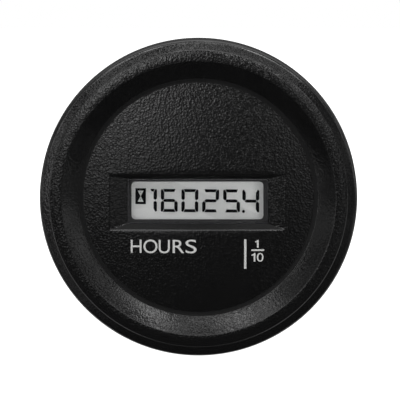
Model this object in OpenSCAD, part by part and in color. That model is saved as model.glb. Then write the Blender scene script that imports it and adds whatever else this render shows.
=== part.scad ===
// Round panel-mounted digital hour meter with the clamp that holds it in a panel.
// Every piece is drawn with x to the right, y up and z out of the panel towards the reader, z = 0 being the
// face of the panel. facing() then turns the drawing so that the reader looks along +Y and +Z is up.

/* [Bezel and face] */
// Width of the bezel outside the barrel
bezel_out = 3.8; // [3.5:0.1:6]
// Height of the bezel's crest above the panel
bezel_h = 6.5; // [6.2:0.1:9]
// Radius of the round between the bezel's side and its outer band
rim_round = 0.83; // [0.5:0.01:1.2]
// Width of the outer band, from the rim's round to the crease
outer_band_w = 1.38; // [1:0.01:1.8]
// Fall of the outer band towards the rim, in degrees
outer_tilt = 22; // [10:1:30]
// Height of the small step at the crease
crease_step = 0.15; // [0.05:0.01:0.3]
// Width of the inner band, from the crease to the crest's round
crest_band_w = 1.48; // [1:0.01:2]
// Fall of the inner band towards the crease, in degrees
crest_tilt = 12; // [5:1:20]
// Radius of the crest's round
crest_round = 0.45; // [0.2:0.05:0.6]
// Width of the funnel, from the crest to the face
funnel_w = 3.83; // [3:0.01:4.5]
// Slope of the funnel, in degrees
funnel_angle = 36; // [30:1:42]
// Radius of the fillet between the funnel and the face
face_fillet = 0.8; // [0.3:0.1:1.2]
// Rise of the domed face from its edge to its middle
face_dome = 1; // [0.8:0.05:1.3]
// Thickness of the face at its edge
face_wall = 1.9; // [1.7:0.1:2.5]
// Height of the bezel's back edge above the panel
rim_back = 0.3; // [0.1:0.05:0.5]
// Chamfer on the bezel's back edge
rim_chamfer = 0.2; // [0.1:0.05:0.4]
// Width of the bezel's skirt, outside the gasket groove
skirt_w = 0.8; // [0.6:0.1:1.2]
// Thickness of the skin above the hollow in the bezel's back
bezel_skin = 1.3; // [1:0.1:1.6]

/* [Barrel and rear cover] */
// Radius of the barrel that passes through the panel
barrel_r = 25.4; // [25:0.1:25.6]
// Length of the barrel behind the panel's face
barrel_len = 20; // [19:0.5:28]
// Wall of the barrel
barrel_wall = 2; // [1.6:0.1:2.2]
// Depth of the relief at the barrel's root
root_relief = 0.3; // [0.1:0.05:0.6]
// Thickness of the rear cover
cover_t = 2.2; // [1.6:0.1:3]
// Step from the barrel in to the cover's rim
cover_inset = 0.5; // [0.4:0.05:0.8]
// Length of the cover's spigot inside the barrel
spigot_len = 3.2; // [2.8:0.1:5]
// Wall of the cover's spigot
spigot_wall = 2.2; // [2:0.1:3]
// Radial clearance between spigot and barrel
spigot_fit = 0.05; // [0.03:0.01:0.1]
// Radius of the cover seal's section
seal_section_r = 0.6; // [0.5:0.05:0.7]
// Clearance of the cover seal in its groove
seal_fit = 0.02; // [0.01:0.01:0.04]
// Radius of the cover's three board posts
post_r = 1.5; // [1:0.1:1.8]
// Distance from the board's edge in to the posts' axes
post_in = 2.2; // [2:0.1:3]

/* [Gasket] */
// Thickness of the panel gasket
gasket_t = 1; // [0.8:0.1:1.5]
// Clearance of the gasket to the barrel and to the skirt
gasket_fit = 0.1; // [0.05:0.05:0.3]
// Radial land of the gasket groove on each side of the hollow behind it
gasket_land = 0.6; // [0.4:0.1:0.7]

/* [Display window] */
// Height of the window's middle above the axis
window_y = -0.85; // [-2:0.05:1]
// Width of the recess where it meets the face
recess_w = 32.6; // [31:0.1:34]
// Height of the recess where it meets the face
recess_h = 10.7; // [9.6:0.1:12]
// Depth of the recess below the middle of the face
recess_depth = 1.1; // [0.9:0.05:1.3]
// Width of the window lens
lens_w = 26; // [25.6:0.1:27]
// Height of the window lens
lens_h = 8.5; // [8:0.1:9]
// Corner radius of the window lens
lens_corner = 0.3; // [0.1:0.05:0.6]
// Depth of the lens below the recess's floor
lens_sink = 0.05; // [0:0.01:0.2]
// Clearance round the lens in the case
lens_fit = 0.05; // [0.02:0.01:0.1]
// Width of the lens's flange behind the face
lens_lip = 1.5; // [1:0.1:1.8]
// Thickness of the lens's flange
lens_lip_t = 0.7; // [0.5:0.05:1]
// Thickness of the printed mask
mask_t = 0.08; // [0.05:0.01:0.15]
// Margin from the lens's flange in to the mask
mask_margin = 0.2; // [0.1:0.05:0.5]
// Width of the clear view in the mask
view_w = 24.3; // [23.5:0.1:25]
// Height of the clear view in the mask
view_h = 7; // [6:0.1:7.5]
// Corner radius of the clear view
view_corner = 0.75; // [0.3:0.05:1.2]
// Distance of the clear view to the right of the lens's middle
view_x = -0.2; // [-0.4:0.05:0.4]

/* [Liquid crystal display] */
// Width of both display glasses
glass_w = 33; // [32:0.1:34]
// Height of the front glass
front_glass_h = 17; // [16.6:0.1:17.4]
// Height of the rear glass
rear_glass_h = 12.4; // [12:0.1:12.8]
// Thickness of each display glass
glass_t = 0.7; // [0.5:0.05:1.1]
// Gap between the glasses
cell_gap = 0.06; // [0.04:0.01:0.1]
// Width of the sealing ring between the glasses
edge_seal_w = 0.8; // [0.5:0.1:1.2]
// Distance from the rear glass's edge in to the sealing ring
edge_seal_in = 0.3; // [0.1:0.05:0.6]
// Thickness of the front polariser
polariser_t = 0.2; // [0.1:0.02:0.3]
// Thickness of the rear polariser with its reflector
reflector_t = 0.25; // [0.15:0.02:0.35]
// Distance from the rear glass's edge in to both polarisers
film_in = 0.8; // [0.4:0.1:1.2]
// Height of a digit
digit_h = 4.18; // [3.5:0.01:4.6]
// Width of a digit
digit_w = 2.85; // [2.4:0.01:3.1]
// Distance from one digit to the next
digit_pitch = 3.8; // [3.5:0.01:3.9]
// Lean of the digits to the right, in degrees
digit_lean = 3; // [0:0.5:8]
// Thickness of a digit's segment
segment_w = 0.46; // [0.3:0.01:0.55]
// Gap between the segments of a digit
segment_gap = 0.07; // [0.04:0.01:0.12]
// Distance of the first digit's middle to the left of the view's middle
reading_x = 8.95; // [8.6:0.05:9.1]
// Width of the hourglass mark
hourglass_w = 1.9; // [1.4:0.1:1.9]
// Height of the hourglass mark
hourglass_h = 2.9; // [2.2:0.1:3.4]
// Gap from the hourglass mark to the first digit's stroke
hourglass_gap = 0.85; // [0.6:0.05:1]
// Border left round the hourglass in its mark
hourglass_border = 0.26; // [0.2:0.01:0.35]

/* [Display frame and board] */
// Wall of the display frame
frame_wall = 1.2; // [1:0.1:1.8]
// Clearance round the display glass in its frame
frame_fit = 0.15; // [0.05:0.05:0.3]
// Thickness of the frame's floor behind the display
frame_floor = 2.5; // [1.5:0.1:4]
// Radius of the frame's screw ears
ear_r = 1.9; // [1.7:0.1:2.4]
// Distance from the frame's side to the ear's axis
ear_out = 0.8; // [0.7:0.1:1.3]
// Length of the contact strips
strip_len = 30; // [26:0.5:31]
// Width of the contact strips
strip_w = 1.6; // [1.2:0.1:1.8]
// Clearance round a contact strip in the frame
strip_fit = 0.15; // [0.05:0.05:0.2]
// Thickness of the circuit board
board_t = 1.6; // [1:0.1:2]
// Radial clearance between board and barrel
board_fit = 0.4; // [0.2:0.1:0.6]
// Radius of the board screws' thread
screw_r = 1; // [0.8:0.05:1.1]
// Radius of the board screws' heads
screw_head_r = 1.9; // [1.5:0.1:2]
// Height of the board screws' heads
screw_head_t = 1.3; // [0.8:0.1:1.6]
// Length of a board screw's thread in the frame
screw_grip = 3; // [2:0.1:4]
// Radial clearance of the board screws in the frame
screw_fit = 0.02; // [0.01:0.01:0.05]
// Radial clearance of the board screws in the board
screw_pass = 0.1; // [0.05:0.05:0.3]

/* [Parts on the board] */
// Side of the controller chip
controller_side = 9; // [7:0.5:10]
// Thickness of the chips
chip_t = 1.5; // [1:0.1:2]
// Length of the memory chip
memory_len = 5; // [4:0.1:5.5]
// Width of the memory chip
memory_w = 4; // [3:0.1:4.5]
// Radius of the crystal's can
crystal_r = 1; // [0.7:0.1:1.5]
// Length of the crystal's can
crystal_len = 6; // [4:0.5:8]
// Length of the bridge rectifier
bridge_len = 6.4; // [5:0.1:7]
// Width of the bridge rectifier
bridge_w = 4.6; // [3.5:0.1:5]
// Thickness of the bridge rectifier
bridge_t = 2.5; // [1.5:0.1:3]
// Radius of the surge suppressor's disc
suppressor_r = 4.5; // [3:0.1:5]
// Thickness of the surge suppressor's disc
suppressor_t = 3.2; // [2:0.1:4]
// Length of the suppressor's leads below its disc
suppressor_stand = 1.5; // [1:0.1:3]
// Radius of the dropping resistors
resistor_r = 1.5; // [1:0.1:1.7]
// Length of the dropping resistors
resistor_len = 6.3; // [5:0.1:7]
// Distance between the dropping resistors
resistor_pitch = 4.2; // [3.8:0.1:4.6]
// Distance between the two leads of a dropping resistor
resistor_span = 10; // [9:0.1:10.5]
// Radius of the reservoir capacitor
capacitor_r = 4; // [3:0.1:4.2]
// Height of the reservoir capacitor
capacitor_h = 11; // [8:0.5:12]
// Radius of the voltage regulator's body
regulator_r = 2.4; // [2:0.1:2.6]
// Height of the voltage regulator's body
regulator_h = 4.6; // [4:0.1:5.5]
// Length of the regulator's leads below its body
regulator_stand = 2; // [1:0.1:3]
// Radius of the wire leads
lead_r = 0.3; // [0.2:0.05:0.4]
// Number of chip resistors
chip_resistor_count = 6; // [2:1:7]
// Distance from one chip resistor to the next
chip_resistor_pitch = 2.2; // [1.2:0.1:2.6]
// Length of a chip resistor
chip_resistor_len = 1.6; // [1:0.1:2]
// Width of a chip resistor
chip_resistor_w = 0.8; // [0.5:0.05:1]
// Thickness of a chip resistor
chip_resistor_t = 0.45; // [0.35:0.05:0.6]
// Number of chip capacitors
chip_capacitor_count = 4; // [2:1:5]
// Distance from one chip capacitor to the next
chip_capacitor_pitch = 3.4; // [2.6:0.1:3.8]
// Length of a chip capacitor
chip_capacitor_len = 2; // [1.6:0.1:2.4]
// Width of a chip capacitor
chip_capacitor_w = 1.2; // [0.8:0.1:1.4]
// Thickness of a chip capacitor
chip_capacitor_t = 0.9; // [0.6:0.05:1.2]

/* [Terminals] */
// Width of the terminal blades
blade_w = 6.35; // [4.8:0.05:6.5]
// Thickness of the terminal blades
blade_t = 0.8; // [0.5:0.1:1]
// Length of the blades behind the cover
blade_len = 8.2; // [7:0.1:10]
// Radius of the catch hole in a blade
blade_hole_r = 0.8; // [0.6:0.05:1]
// Distance from a blade's tip to its catch hole
blade_hole_at = 3.9; // [3:0.1:4.5]
// Chamfer at a blade's tip
blade_chamfer = 1.2; // [0.6:0.1:1.6]
// Distance from the middle to each blade
blade_x = 8; // [6:0.1:8.5]
// Distance of the blades below the axis
blade_down = 13; // [12.6:0.1:14]
// Width of a terminal's shoulder inside the cover
shoulder_w = 8.5; // [7.5:0.1:9]
// Thickness of a terminal's shoulder
shoulder_t = 1.5; // [1:0.1:2]
// Width of a terminal's tail
tail_w = 2.4; // [1.6:0.1:3]
// Length of the tail past the board
tail_past = 0.6; // [0.3:0.1:1.2]
// Clearance round a blade or tail in its slot
blade_fit = 0.08; // [0.05:0.01:0.15]

/* [Clamp] */
// Radius of the clamp studs
stud_r = 2; // [1.75:0.05:2.2]
// Distance from the axis to each stud
stud_x = 14; // [13:0.1:15]
// Width across the flats of the studs' heads
stud_head_af = 7; // [6:0.1:7.2]
// Thickness of the studs' heads
stud_head_t = 2; // [1.5:0.1:2.5]
// Clearance of the studs in the cover and in their nuts
stud_fit = 0.05; // [0.02:0.01:0.08]
// Clearance round a stud's head in its socket
stud_head_fit = 0.1; // [0.05:0.05:0.2]
// Wall of the socket round a stud's head
socket_wall = 1.2; // [0.8:0.1:1.4]
// Radius of the pads round the studs on the back of the cover
pad_r = 4.5; // [3.5:0.1:5]
// Height of those pads
pad_h = 1.2; // [0.6:0.1:2]
// Length of stud left behind the nuts at the end of their travel
stud_spare = 2.8; // [1:0.1:6]
// Chamfer on a stud's tip
stud_chamfer = 0.4; // [0.2:0.1:0.8]
// Thickness of the panel that the clamp is set for
panel_t = 3; // [2.5:0.1:3.5]
// Distance from the pads back to the clamp's bridge
bridge_gap = 3.6; // [3.4:0.1:6]
// Travel of the clamp away from the panel
back_travel = 4.5; // [3:0.1:6]
// Thickness of the clamp's strip
strap_t = 1.5; // [1.2:0.1:2]
// Width of the clamp's strip
strap_w = 12; // [10:0.5:12.5]
// Inner radius of the clamp's bends
strap_bend = 1; // [0.5:0.1:2]
// Distance from the barrel out to the clamp's legs
leg_gap = 1.2; // [1:0.1:2]
// Radius of the corners of the clamp's feet
foot_corner = 1.5; // [0.5:0.1:2]
// Radial clearance of the studs in the clamp
strap_pass = 0.3; // [0.2:0.05:0.5]
// Outer radius of the lock washers
washer_r = 3.7; // [3.2:0.1:4]
// Thickness of the lock washers
washer_t = 1; // [0.6:0.1:1.2]
// Gap in the lock washers
washer_split = 0.6; // [0.3:0.1:1]
// Radial clearance of the studs in the lock washers
washer_pass = 0.15; // [0.1:0.05:0.3]
// Width across the flats of the nuts
nut_af = 7; // [6:0.1:8]
// Thickness of the nuts
nut_t = 3.2; // [2.5:0.1:4]
// Gap between a lock washer and its nut
nut_gap = 0.02; // [0.01:0.01:0.1]

/* [Legend] */
// Thickness of the ink
ink_t = 0.04; // [0.02:0.01:0.08]
// Distance of the upright bar's middle to the right of the axis
bar_x = 8.82; // [7:0.01:9]
// Distance of the upright bar's top below the axis
bar_top = 7.78; // [7.6:0.01:8.5]
// Width of the upright bar
bar_w = 0.48; // [0.3:0.01:0.7]
// Length of the upright bar
bar_len = 5.5; // [4:0.1:6]
// Distance from the upright bar to the fraction bar
fraction_gap = 0.87; // [0.5:0.01:1.2]
// Length of the fraction bar
fraction_len = 2.4; // [1.8:0.01:2.8]
// Thickness of the fraction bar
fraction_w = 0.31; // [0.2:0.01:0.45]
// Distance from the upright bar's top down to the fraction bar
fraction_down = 1.86; // [1.5:0.01:2.4]

/* [Hidden] */
$fn = 96;

// How far a cutting shape runs past the face that it opens
past = 1;
// The same for the recess, whose cutter ends just above the dome so that it stays off the funnel
recess_past = 0.05;
// Number of straight pieces in a rounded corner of the bezel's section
round_steps = 6;

// Radii of the bezel, from the rim inwards
bezel_r = barrel_r + bezel_out;
edge_r = bezel_r - rim_round * (1 - sin(outer_tilt));
crease_r = edge_r - outer_band_w;
crest_end_r = crease_r - crest_band_w;
crest_mid_r = crest_end_r - crest_round * sin(crest_tilt);
crest_start_r = crest_mid_r - crest_round * sin(funnel_angle);
face_r = crest_start_r - funnel_w;

// Heights of the bezel and the face above the panel
crest_mid_z = bezel_h - crest_round;
crease_z = crest_mid_z + crest_round * cos(crest_tilt) - crest_band_w * tan(crest_tilt);
edge_z = crease_z - crease_step - outer_band_w * tan(outer_tilt);
rim_mid_z = edge_z - rim_round * cos(outer_tilt);
funnel_top_z = crest_mid_z + crest_round * cos(funnel_angle);
face_edge_z = funnel_top_z - (funnel_w - face_fillet * sin(funnel_angle)) * tan(funnel_angle)
    - face_fillet * (1 - cos(funnel_angle));
face_top_z = face_edge_z + face_dome;
dome_r = (face_r * face_r + face_dome * face_dome) / (2 * face_dome);
dome_mid_z = face_top_z - dome_r;
function dome_z(r) = dome_mid_z + sqrt(dome_r * dome_r - r * r);

// Inside of the case
case_inner_z = face_edge_z - face_wall;
bore_r = barrel_r - barrel_wall;
relief_r = barrel_r - root_relief;
groove_r = bezel_r - skirt_w;
hollow_in_r = barrel_r + gasket_fit + gasket_land;
hollow_out_r = groove_r - gasket_land;
hollow_z = edge_z - bezel_skin;

// The display, from the recess's floor to the board
recess_z = face_top_z - recess_depth;
lens_front_z = recess_z - lens_sink;
lens_back_z = case_inner_z - lens_lip_t;
mask_back_z = lens_back_z - mask_t;
front_glass_z = mask_back_z - polariser_t;
cell_front_z = front_glass_z - glass_t;
cell_back_z = cell_front_z - cell_gap;
rear_glass_back_z = cell_back_z - glass_t;
floor_front_z = rear_glass_back_z - reflector_t;
board_front_z = floor_front_z - frame_floor;
board_back_z = board_front_z - board_t;
board_r = bore_r - board_fit;
post_at = board_r - post_in;
lens_lip_w = lens_w + 2 * lens_lip;
lens_lip_h = lens_h + 2 * lens_lip;
lens_lip_corner = lens_corner + 0.5;
film_w = glass_w - 2 * film_in;
film_h = rear_glass_h - 2 * film_in;
pocket_w = glass_w + 2 * frame_fit;
pocket_h = front_glass_h + 2 * frame_fit;
frame_w = pocket_w + 2 * frame_wall;
frame_h = pocket_h + 2 * frame_wall;
ear_x = frame_w / 2 + ear_out;
strip_y = (front_glass_h + rear_glass_h) / 4;

// The back of the case
cover_front_z = -barrel_len;
cover_back_z = cover_front_z - cover_t;
cover_r = barrel_r - cover_inset;
spigot_r = bore_r - spigot_fit;
spigot_in_r = spigot_r - spigot_wall;
seal_mid_r = bore_r - seal_fit - seal_section_r;
seal_groove_r = seal_mid_r - seal_section_r - seal_fit;
seal_z = cover_front_z + spigot_len / 2;
pad_z = cover_back_z - pad_h;
socket_r = stud_head_af / sqrt(3) + stud_head_fit + socket_wall;

// The clamp, from its feet to the studs' tips
foot_z = -panel_t;
bridge_z = pad_z - bridge_gap;
strap_back_z = bridge_z - strap_t;
washer_back_z = strap_back_z - washer_t;
nut_front_z = washer_back_z - nut_gap;
nut_back_z = nut_front_z - nut_t;
stud_tip_z = nut_back_z - back_travel - stud_spare;
leg_in_x = barrel_r + leg_gap;
leg_out_x = leg_in_x + strap_t;

// Lit segments of each digit, clockwise from the top, then the middle one
DIGITS = [
    [0, 1, 1, 0, 0, 0, 0],
    [1, 0, 1, 1, 1, 1, 1],
    [1, 1, 1, 1, 1, 1, 0],
    [1, 1, 0, 1, 1, 0, 1],
    [1, 0, 1, 1, 0, 1, 1],
    [0, 1, 1, 0, 0, 1, 1]
];
// The digit that the decimal point stands before
point_before = 5;

case_colour = "#1c1c1e";
cover_colour = "#232325";
ink_colour = "#d6d6d4";
clear_colour = "#c9d6da";
steel_colour = "#b9bcc0";
brass_colour = "#c8a850";
chip_colour = "#202225";

// Turns a drawing to the part's frame
module facing() {
    rotate([90, 0, 0]) children();
}

// A flat outline given a thickness, from one height to another
module slab(low_z, high_z) {
    translate([0, 0, low_z]) linear_extrude(high_z - low_z) children();
}

// A disc or rod along z, from one height to another
module rod(r, low_z, high_z) {
    translate([0, 0, low_z]) cylinder(r = r, h = high_z - low_z);
}

module box(w, h) {
    square([w, h], center = true);
}

module round_box(w, h, corner) {
    box(w, h - 2 * corner);
    box(w - 2 * corner, h);
    for (sx = [-1, 1], sy = [-1, 1]) {
        translate([sx * (w / 2 - corner), sy * (h / 2 - corner)]) circle(r = corner);
    }
}

// A prism along z with its flats parallel to x, for nuts and bolt heads
module hexagon(af, low_z, high_z) {
    translate([0, 0, low_z]) cylinder(d = af * 2 / sqrt(3), h = high_z - low_z, $fn = 6);
}

function arc(mid, r, from, to) = [
    for (i = [0:round_steps]) let (a = from + (to - from) * i / round_steps) mid + r * [cos(a), sin(a)]
];

// Half section of the case, from the middle of its inner face round the barrel and the bezel to the face
case_section = concat(
    [
        [0, case_inner_z], [bore_r, case_inner_z], [bore_r, cover_front_z], [barrel_r, cover_front_z],
        [barrel_r, 0], [relief_r, 0], [relief_r, gasket_t], [hollow_in_r, gasket_t],
        [hollow_in_r, hollow_z], [hollow_out_r, hollow_z], [hollow_out_r, gasket_t],
        [groove_r, gasket_t], [groove_r, rim_back], [bezel_r - rim_chamfer, rim_back],
        [bezel_r, rim_back + rim_chamfer]
    ],
    arc([bezel_r - rim_round, rim_mid_z], rim_round, 0, 90 - outer_tilt),
    [[crease_r, crease_z - crease_step], [crease_r - crease_step / 2, crease_z + crease_step / 2 * tan(crest_tilt)]],
    arc([crest_mid_r, crest_mid_z], crest_round, 90 - crest_tilt, 90 + funnel_angle),
    arc([face_r, face_edge_z + face_fillet], face_fillet, funnel_angle - 90, -90),
    [[0, face_edge_z]]
);

module dome(extra) {
    translate([0, 0, dome_mid_z]) sphere(r = dome_r + extra, $fn = 360);
}

// Pocket with four sloping walls over the window
module recess() {
    rise = recess_depth + recess_past;
    side_rise = dome_z(recess_w / 2) - recess_z;
    top_slope = (recess_h - lens_h) / 2 / recess_depth;
    side_slope = (recess_w - lens_w) / 2 / side_rise;
    low_h = lens_h / 2;
    low_w = lens_w / 2;
    intersection() {
        translate([0, -window_y, 0]) rod(face_r - face_fillet, recess_z - past, recess_z + rise + past);
        rotate([90, 0, 90]) linear_extrude(recess_w * 2, center = true) polygon([
            [-low_h, recess_z], [low_h, recess_z],
            [low_h + rise * top_slope, recess_z + rise], [-low_h - rise * top_slope, recess_z + rise]
        ]);
        rotate([90, 0, 0]) linear_extrude(recess_h * 2, center = true) polygon([
            [-low_w, recess_z], [low_w, recess_z],
            [low_w + rise * side_slope, recess_z + rise], [-low_w - rise * side_slope, recess_z + rise]
        ]);
    }
}

module front_case() {
    color(case_colour) facing() difference() {
        union() {
            rotate_extrude() polygon(case_section);
            intersection() {
                rod(face_r, case_inner_z, face_top_z + past);
                dome(0);
            }
        }
        translate([0, window_y, 0]) {
            recess();
            slab(case_inner_z - past, recess_z + past)
                round_box(lens_w + 2 * lens_fit, lens_h + 2 * lens_fit, lens_corner + lens_fit);
        }
    }
}

// The bars of the printed legend, following the domed face
module legend_print() {
    color(ink_colour) facing() difference() {
        intersection() {
            slab(face_edge_z, face_top_z + past) {
                translate([bar_x, -bar_top - bar_len / 2]) box(bar_w, bar_len);
                translate([bar_x + bar_w / 2 + fraction_gap, -bar_top - fraction_down - fraction_w])
                    square([fraction_len, fraction_w]);
            }
            dome(ink_t);
        }
        dome(0);
    }
}

module window_lens() {
    color(clear_colour, 0.4) facing() translate([0, window_y, 0]) {
        slab(case_inner_z - lens_lip_t / 2, lens_front_z) round_box(lens_w, lens_h, lens_corner);
        slab(lens_back_z, case_inner_z) round_box(lens_lip_w, lens_lip_h, lens_lip_corner);
    }
}

module window_mask() {
    color("#2c2c2e") facing() translate([0, window_y, 0]) slab(mask_back_z, lens_back_z) difference() {
        round_box(lens_lip_w - 2 * mask_margin, lens_lip_h - 2 * mask_margin, lens_lip_corner - mask_margin);
        translate([view_x, 0]) round_box(view_w, view_h, view_corner);
    }
}

module lcd_front_polariser() {
    color("#aeb2ae", 0.5) facing() translate([0, window_y, 0]) slab(front_glass_z, mask_back_z)
        box(film_w, film_h);
}

module lcd_front_glass() {
    color(clear_colour, 0.5) facing() translate([0, window_y, 0]) slab(cell_front_z, front_glass_z)
        box(glass_w, front_glass_h);
}

module lcd_edge_seal() {
    seal_w = glass_w - 2 * edge_seal_in;
    seal_h = rear_glass_h - 2 * edge_seal_in;
    color("#d8d6c8") facing() translate([0, window_y, 0]) slab(cell_back_z, cell_front_z) difference() {
        box(seal_w, seal_h);
        box(seal_w - 2 * edge_seal_w, seal_h - 2 * edge_seal_w);
    }
}

function lean(p) = [p.x + p.y * tan(digit_lean), p.y];

// A pointed stroke from p to q
module stroke(p, q) {
    along = (q - p) / norm(q - p);
    side = [-along.y, along.x] * segment_w / 2;
    start = p + along * segment_gap;
    end = q - along * segment_gap;
    shoulder = along * segment_w / 2;
    polygon([
        for (c = [start, start + shoulder + side, end - shoulder + side, end, end - shoulder - side,
            start + shoulder - side]) lean(c)
    ]);
}

module digit(lit) {
    w = (digit_w - segment_w) / 2;
    h = (digit_h - segment_w) / 2;
    ends = [
        [[-w, h], [w, h]], [[w, h], [w, 0]], [[w, 0], [w, -h]], [[-w, -h], [w, -h]],
        [[-w, 0], [-w, -h]], [[-w, h], [-w, 0]], [[-w, 0], [w, 0]]
    ];
    for (i = [0:6]) {
        if (lit[i]) stroke(ends[i][0], ends[i][1]);
    }
}

// The hook at the top of the first digit
module hook() {
    w = (digit_w - segment_w) / 2;
    h = (digit_h - segment_w) / 2;
    stroke([w - digit_w / 4 - segment_w / 2, h], [w, h]);
}

module hourglass() {
    w = hourglass_w / 2 - hourglass_border;
    h = hourglass_h / 2 - hourglass_border;
    neck = 0.12 * w;
    difference() {
        box(hourglass_w, hourglass_h);
        polygon([[-w, h], [-neck, 0], [-w, -h], [w, -h], [neck, 0], [w, h]]);
    }
    for (s = [-1, 1]) translate([0, s * h * 0.6]) circle(r = hourglass_border / 2, $fn = 24);
}

module lcd_segments() {
    color("#15161a") facing() translate([view_x, window_y, 0]) slab(cell_back_z, cell_front_z) {
        for (i = [0:len(DIGITS) - 1]) {
            translate([i * digit_pitch - reading_x, 0]) digit(DIGITS[i]);
        }
        translate([-reading_x, 0]) hook();
        translate([(point_before - 0.5) * digit_pitch - reading_x, (segment_w - digit_h) / 2])
            circle(r = segment_w / 2, $fn = 32);
        translate([digit_w / 2 - segment_w - reading_x - hourglass_gap - hourglass_w / 2,
            (digit_h - hourglass_h) / 2 - segment_w / 2]) hourglass();
    }
}

module lcd_rear_glass() {
    color(clear_colour, 0.5) facing() translate([0, window_y, 0]) slab(rear_glass_back_z, cell_back_z)
        box(glass_w, rear_glass_h);
}

module lcd_reflector() {
    color("#b4b7b2") facing() translate([0, window_y, 0]) slab(floor_front_z, rear_glass_back_z)
        box(film_w, film_h);
}

module display_frame() {
    color("#e8e6df") facing() translate([0, window_y, 0]) difference() {
        slab(board_front_z, case_inner_z) {
            box(frame_w, frame_h);
            for (s = [-1, 1]) translate([s * ear_x, 0]) {
                circle(r = ear_r);
                translate([-s * ear_out / 2, 0]) box(ear_out, 2 * ear_r);
            }
        }
        slab(floor_front_z, case_inner_z + past) box(pocket_w, pocket_h);
        for (s = [-1, 1]) {
            translate([0, s * strip_y, 0]) slab(board_front_z - past, floor_front_z + past)
                box(strip_len + 2 * strip_fit, strip_w + 2 * strip_fit);
            translate([s * ear_x, 0, 0])
                rod(screw_r + screw_fit, board_front_z - past, board_front_z + screw_grip + screw_r);
        }
    }
}

// Elastomer strip between the front glass's ledge and the board, above or below the rear glass
module contact_strip(side) {
    color("#5c6068") facing() translate([0, window_y + side * strip_y, 0]) slab(board_front_z, cell_front_z)
        box(strip_len, strip_w);
}

module upper_contact_strip() {
    contact_strip(1);
}

module lower_contact_strip() {
    contact_strip(-1);
}

module circuit_board() {
    color("#1f5a38") facing() difference() {
        rod(board_r, board_back_z, board_front_z);
        for (s = [-1, 1]) {
            translate([s * ear_x, window_y, 0])
                rod(screw_r + screw_pass, board_back_z - past, board_front_z + past);
            translate([s * blade_x, -blade_down, 0]) slab(board_back_z - past, board_front_z + past)
                box(tail_w + 2 * blade_fit, blade_t + 2 * blade_fit);
        }
    }
}

module board_screws() {
    cross_w = screw_head_r / 4;
    color(steel_colour) facing() for (s = [-1, 1]) translate([s * ear_x, window_y, 0]) difference() {
        union() {
            rod(screw_head_r, board_back_z - screw_head_t, board_back_z);
            rod(screw_r, board_back_z, board_front_z + screw_grip);
        }
        slab(board_back_z - screw_head_t - past, board_back_z - screw_head_t / 2) {
            box(screw_head_r * 1.2, cross_w);
            box(cross_w, screw_head_r * 1.2);
        }
    }
}

// Moves a drawing to a place on the back of the board, with z pointing away from the board. The place is given
// in shares of the board's radius, so that the layout keeps to the board.
module on_board(across, up) {
    facing() translate([across * board_r, up * board_r, board_back_z]) mirror([0, 0, 1]) children();
}

// Moulded chip with a row of feet along two opposite sides
module chip(w, h, t, feet, foot_w) {
    foot_t = 0.2;
    foot_out = 1;
    stand = 0.1;
    translate([0, 0, stand]) linear_extrude(t) box(w, h);
    for (i = [0:feet - 1], s = [-1, 1]) {
        translate([(i - (feet - 1) / 2) * w / feet, 0]) {
            translate([-foot_w / 2, s > 0 ? h / 2 - foot_t : -h / 2 - foot_out, 0])
                cube([foot_w, foot_out + foot_t, foot_t]);
            translate([-foot_w / 2, s > 0 ? h / 2 - foot_t : -h / 2 - foot_t, 0])
                cube([foot_w, 2 * foot_t, t / 2]);
        }
    }
}

module controller_chip() {
    color(chip_colour) on_board(-0.04, 0.2) {
        chip(controller_side, controller_side, chip_t, 11, 0.35);
        rotate([0, 0, 90]) chip(controller_side, controller_side, chip_t, 11, 0.35);
    }
}

module memory_chip() {
    color(chip_colour) on_board(-0.5, -0.24) chip(memory_len, memory_w, chip_t, 4, 0.45);
}

module clock_crystal() {
    color(steel_colour) on_board(-0.13, 0.59) {
        translate([-crystal_len / 2, 0, crystal_r]) rotate([0, 90, 0]) cylinder(r = crystal_r, h = crystal_len);
        for (s = [-1, 1]) translate([crystal_len / 2, s * crystal_r / 2, 0]) {
            translate([0, 0, crystal_r]) rotate([0, 90, 0]) cylinder(r = lead_r / 2, h = crystal_r);
            translate([crystal_r, 0, 0]) cylinder(r = lead_r / 2, h = crystal_r + lead_r / 2);
        }
    }
}

module bridge_rectifier() {
    color(chip_colour) on_board(0, -0.52) chip(bridge_w, bridge_len - 2, bridge_t, 2, 0.6);
}

module surge_suppressor() {
    mid_z = suppressor_stand + suppressor_r;
    color("#2f5fa8") on_board(0, -0.765) {
        translate([0, suppressor_t / 2, mid_z]) rotate([90, 0, 0]) cylinder(r = suppressor_r, h = suppressor_t);
        for (s = [-1, 1]) translate([s * suppressor_r / 2, 0, 0]) cylinder(r = lead_r, h = mid_z - suppressor_r / 2);
    }
}

module dropping_resistors() {
    lead_z = resistor_r + lead_r;
    color("#c9ad7c") on_board(-0.61, 0.21) for (i = [0, 1]) translate([0, i * resistor_pitch, 0]) {
        translate([-resistor_len / 2, 0, lead_z]) rotate([0, 90, 0]) cylinder(r = resistor_r, h = resistor_len);
        translate([-resistor_span / 2, 0, lead_z]) rotate([0, 90, 0]) cylinder(r = lead_r, h = resistor_span);
        for (s = [-1, 1]) translate([s * resistor_span / 2, 0, 0]) {
            cylinder(r = lead_r, h = lead_z);
            translate([0, 0, lead_z]) sphere(r = lead_r);
        }
    }
}

module chip_resistors() {
    color("#2a2a2c") on_board(0.33, 0.13) for (i = [0:chip_resistor_count - 1])
        translate([0, -i * chip_resistor_pitch, 0]) linear_extrude(chip_resistor_t)
            box(chip_resistor_len, chip_resistor_w);
}

module chip_capacitors() {
    color("#b79a72") on_board(-0.325, -0.2) for (i = [0:chip_capacitor_count - 1])
        translate([i * chip_capacitor_pitch, 0, 0]) linear_extrude(chip_capacitor_t)
            box(chip_capacitor_len, chip_capacitor_w);
}

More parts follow.
